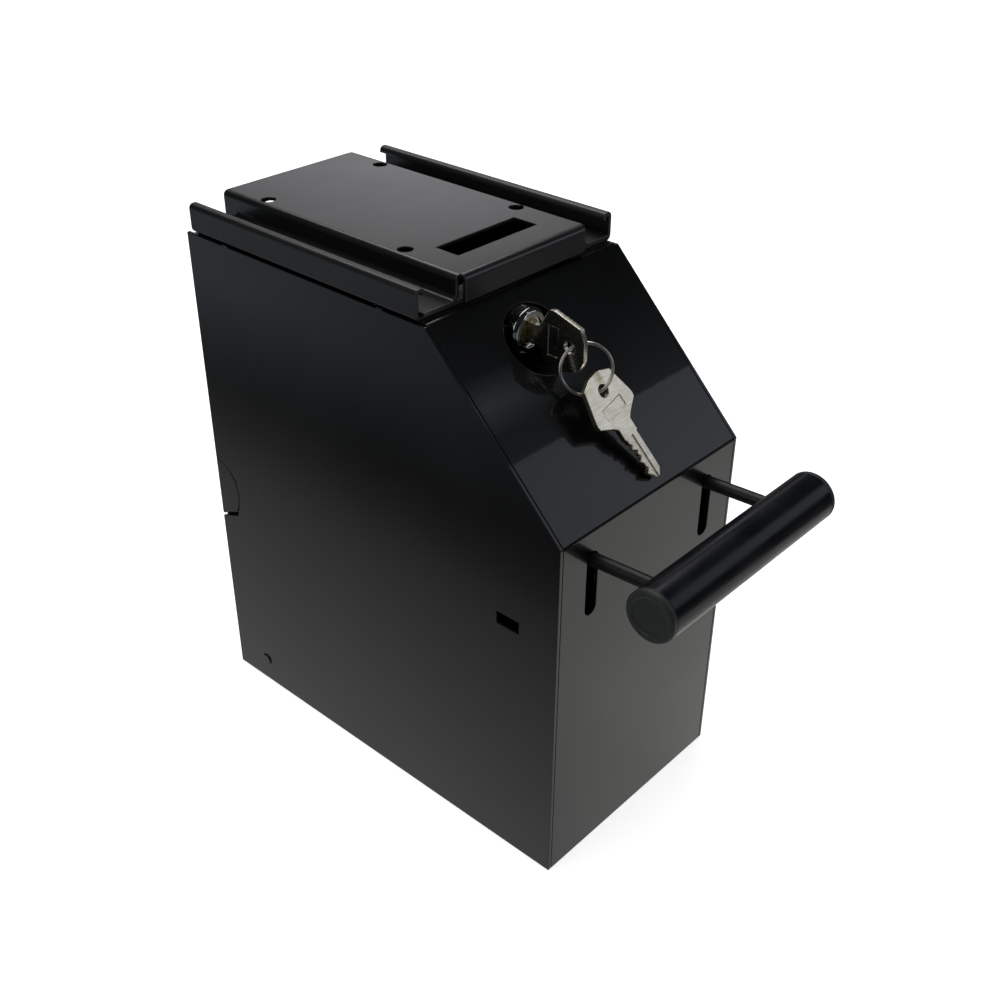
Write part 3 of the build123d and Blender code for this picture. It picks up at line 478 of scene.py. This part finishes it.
# White floor: plain white to the eye, and it keeps the object's shadow
floorLook = {"size": 6.0, "squares": 8, "height": -0.0004, "lift": 0.75, "fibreMm": 2.5,
             "tones": [(0.2, grey(0.78)), (0.8, grey(0.82))]}
floorPaper, tree = newMaterial("white studio paper")
place = addNode(tree, "ShaderNodeTexCoord")
fibre = addNode(tree, "ShaderNodeTexNoise", {"Scale": patternScale(floorLook["fibreMm"])},
                {"Vector": place.outputs["Object"]})
paperTone = setRamp(addNode(tree, "ShaderNodeValToRGB", None, {"Fac": fibre.outputs["Fac"]}),
                    floorLook["tones"])
paper = addNode(tree, "ShaderNodeBsdfDiffuse", None, {"Color": paperTone.outputs["Color"]})
lift = addNode(tree, "ShaderNodeMath", {"operation": "MULTIPLY", 1: floorLook["lift"]},
               {0: seenRays(tree).outputs[0]})
glow = addNode(tree, "ShaderNodeEmission", {"Color": grey(1)}, {"Strength": lift.outputs[0]})
lit = addNode(tree, "ShaderNodeAddShader", None, {0: paper.outputs[0], 1: glow.outputs[0]})
addNode(tree, "ShaderNodeOutputMaterial", None, {"Surface": lit.outputs[0]})
bm = bmesh.new()
bmesh.ops.create_grid(bm, x_segments=floorLook["squares"], y_segments=floorLook["squares"],
                      size=floorLook["size"] / 2)
stageObject("studio_floor", bm, floorPaper, floorLook["height"])

# The room lights the object dimly from all round and is white to the eye
roomLook = {"tint": (0.95, 0.97, 1.0, 1.0), "strength": 0.40}
world = bpy.data.worlds.new("studio")
world.use_nodes = True
bpy.context.scene.world = world
tree = world.node_tree
tree.nodes.clear()
room = addNode(tree, "ShaderNodeBackground", {"Color": roomLook["tint"], "Strength": roomLook["strength"]})
seen = addNode(tree, "ShaderNodeBackground", {"Color": grey(1), "Strength": 1.0})
wholeRoom = addNode(tree, "ShaderNodeMixShader", None,
                    {0: seenRays(tree).outputs[0], 1: room.outputs[0], 2: seen.outputs[0]})
addNode(tree, "ShaderNodeOutputWorld", None, {"Surface": wholeRoom.outputs[0]})

# Grey cloth on the table, for mirrored rays: bright round the safe, falling away into a dark room on
# its left side and at its far right. The sheen runs from leftEnd to rightEnd along X. Each row after
# it is an axis, where a change starts and ends along it, and the levels there.
tableLook = {
    "size": 5.9, "squares": 8, "height": -0.0002, "leftEnd": -0.45, "rightEnd": 0.15,
    "sheen": [(0.0, (0.24, 0.27, 0.31, 1)), (0.22, (0.27, 0.305, 0.35, 1)), (0.30, (0.13, 0.15, 0.17, 1)),
              (0.385, grey(0.010)), (0.44, grey(0.10)), (0.50, grey(0.24)), (0.66, grey(0.43)),
              (0.82, (0.58, 0.58, 0.555, 1)), (1.0, (0.60, 0.595, 0.57, 1))],
    "leftMask": ("X", -0.17, -0.23, 0.0, 1.0), "nearDark": ("Y", 0.10, 0.45, 0.30, 1.0),
    "rightMask": ("X", 0.02, 0.08, 0.0, 1.0), "farBright": ("Y", -0.14, 0.02, 1.0, 1.7),
    "farRight": ("X", 0.27, 0.33, 1.0, 0.12),
}
tableCloth, tree = newMaterial("grey cloth on the table")
place = addNode(tree, "ShaderNodeTexCoord")
split = addNode(tree, "ShaderNodeSeparateXYZ", None, {0: place.outputs["Object"]})
reach = addNode(tree, "ShaderNodeMapRange",
                {"From Min": tableLook["leftEnd"], "From Max": tableLook["rightEnd"]},
                {"Value": split.outputs["X"]})
sheen = setRamp(addNode(tree, "ShaderNodeValToRGB", None, {"Fac": reach.outputs[0]}), tableLook["sheen"])
change = {}
for key in ("leftMask", "nearDark", "rightMask", "farBright", "farRight"):
    axis, start, end, startLevel, endLevel = tableLook[key]
    change[key] = addNode(tree, "ShaderNodeMapRange",
                          {"From Min": start, "From Max": end, "To Min": startLevel, "To Max": endLevel},
                          {"Value": split.outputs[axis]})
leftFade = addNode(tree, "ShaderNodeMix", {"data_type": "FLOAT", 2: 1.0},
                   {0: change["leftMask"].outputs[0], 3: change["nearDark"].outputs[0]})
rightRise = addNode(tree, "ShaderNodeMix", {"data_type": "FLOAT", 2: 1.0},
                    {0: change["rightMask"].outputs[0], 3: change["farBright"].outputs[0]})
rightSide = addNode(tree, "ShaderNodeMath", {"operation": "MULTIPLY"},
                    {0: rightRise.outputs[0], 1: change["farRight"].outputs[0]})
level = addNode(tree, "ShaderNodeMath", {"operation": "MULTIPLY"},
                {0: leftFade.outputs[0], 1: rightSide.outputs[0]})
shade = addNode(tree, "ShaderNodeVectorMath", {"operation": "SCALE"},
                {0: sheen.outputs["Color"], "Scale": level.outputs[0]})
glow = addNode(tree, "ShaderNodeEmission", {"Strength": 1.0}, {"Color": shade.outputs[0]})
addNode(tree, "ShaderNodeOutputMaterial", None, {"Surface": glow.outputs[0]})
bm = bmesh.new()
bmesh.ops.create_grid(bm, x_segments=tableLook["squares"], y_segments=tableLook["squares"],
                      size=tableLook["size"] / 2)
mirrorOnly(stageObject("table_cloth", bm, tableCloth, tableLook["height"]))

# Black cloths round and above the set, for mirrored rays; the folds are about half a metre apart
tentLook = {"radius": 2.9, "rounds": 4, "foldMm": 500,
            "tones": [(0.3, (0.010, 0.011, 0.012, 1)), (0.7, (0.012, 0.013, 0.014, 1))]}
tentCloth, tree = newMaterial("black studio cloth")
place = addNode(tree, "ShaderNodeTexCoord")
fold = addNode(tree, "ShaderNodeTexNoise", {"Scale": patternScale(tentLook["foldMm"]), "Detail": 1.0},
               {"Vector": place.outputs["Object"]})
folds = setRamp(addNode(tree, "ShaderNodeValToRGB", None, {"Fac": fold.outputs["Fac"]}),
                tentLook["tones"])
glow = addNode(tree, "ShaderNodeEmission", {"Strength": 1.0}, {"Color": folds.outputs["Color"]})
addNode(tree, "ShaderNodeOutputMaterial", None, {"Surface": glow.outputs[0]})
bm = bmesh.new()
bmesh.ops.create_icosphere(bm, subdivisions=tentLook["rounds"], radius=tentLook["radius"])
mirrorOnly(stageObject("black_tent", bm, tentCloth))


def lightPanel(name, look):
    # A glowing sheet for mirrored rays, given by its four corners. across and along are levels
    # at places from 0 to 1 between its sides and between its first and last edge.
    bm = bmesh.new()
    face = bm.faces.new([bm.verts.new(Vector(c)) for c in look["corners"]])
    uvLayer = bm.loops.layers.uv.new("UVMap")
    for loop, uv in zip(face.loops, ((0, 0), (1, 0), (1, 1), (0, 1))):
        loop[uvLayer].uv = uv
    material, tree = newMaterial(name + " cloth")
    place = addNode(tree, "ShaderNodeTexCoord")
    split = addNode(tree, "ShaderNodeSeparateXYZ", None, {0: place.outputs["UV"]})
    across = setRamp(addNode(tree, "ShaderNodeValToRGB", None, {"Fac": split.outputs["X"]}),
                     [(p, grey(v)) for p, v in look["across"]])
    along = setRamp(addNode(tree, "ShaderNodeValToRGB", None, {"Fac": split.outputs["Y"]}),
                    [(p, grey(v)) for p, v in look["along"]])
    both = addNode(tree, "ShaderNodeMath", {"operation": "MULTIPLY"},
                   {0: across.outputs["Color"], 1: along.outputs["Color"]})
    strength = addNode(tree, "ShaderNodeMath", {"operation": "MULTIPLY", 1: look["strength"]},
                       {0: both.outputs[0]})
    glow = addNode(tree, "ShaderNodeEmission", {"Color": look["tint"]}, {"Strength": strength.outputs[0]})
    addNode(tree, "ShaderNodeOutputMaterial", None, {"Surface": glow.outputs[0]})
    mirrorOnly(stageObject(name, bm, material))


# Its upper edge mirrors as the sharp line across the slope
lightPanel("panel front right", {
    "corners": [(0.10, -0.385, 0.25), (0.62, -0.385, 0.25), (0.62, -0.250, 0.393), (0.10, -0.250, 0.393)],
    "across": [(0.0, 1), (1.0, 1)], "along": [(0.0, 1), (1.0, 0.95)],
    "strength": 0.74, "tint": (0.84, 0.90, 1.03, 1)})
# Mirrors as the soft blue band higher on the slope
lightPanel("strip front right", {
    "corners": [(0.10, -0.236, 0.405), (0.34, -0.236, 0.405), (0.34, -0.205, 0.435), (0.10, -0.205, 0.435)],
    "across": [(0.0, 1), (0.45, 1), (0.95, 0)], "along": [(0.0, 0), (0.5, 1), (1.0, 0)],
    "strength": 0.62, "tint": (0.80, 0.88, 1.05, 1)})
# Greys the top of the mounting bracket
lightPanel("panel behind right", {
    "corners": [(0.62, 0.60, 0.70), (1.5, 0.60, 0.70), (1.5, 1.7, 0.70), (0.62, 1.7, 0.70)],
    "across": [(0.0, 0.2), (0.18, 0.55), (0.42, 1), (1.0, 1)],
    "along": [(0.0, 0), (0.12, 0.3), (0.35, 1), (1.0, 1)],
    "strength": 1.15, "tint": (0.98, 0.99, 1.03, 1)})


def softbox(name, look):
    light = bpy.data.lights.new(name, "AREA")
    light.shape = "RECTANGLE"
    light.size = look["width"]
    light.size_y = look["height"]
    light.energy = look["watts"]
    light.color = look["tint"]
    box = bpy.data.objects.new(name, light)
    bpy.context.scene.collection.objects.link(box)
    aim = Vector(look["aim"]) - Vector(look["place"])
    turn = aim.to_track_quat("-Z", "Y").to_matrix().to_4x4()
    turn.translation = Vector(look["place"])
    box.matrix_world = turn
    box.visible_camera = False


softbox("softbox above", {"place": (0.25, 0.35, 1.1), "aim": (0, 0, 0.1), "width": 0.9, "height": 0.9,
                          "watts": 6, "tint": (1, 0.99, 0.97)})
softbox("softbox left", {"place": (-1.1, 0.2, 0.8), "aim": (0, 0, 0.12), "width": 0.5, "height": 0.7,
                         "watts": 2.0, "tint": (1, 1, 1)})
print("studio set")

bpy.context.scene.view_settings.view_transform = "Standard"
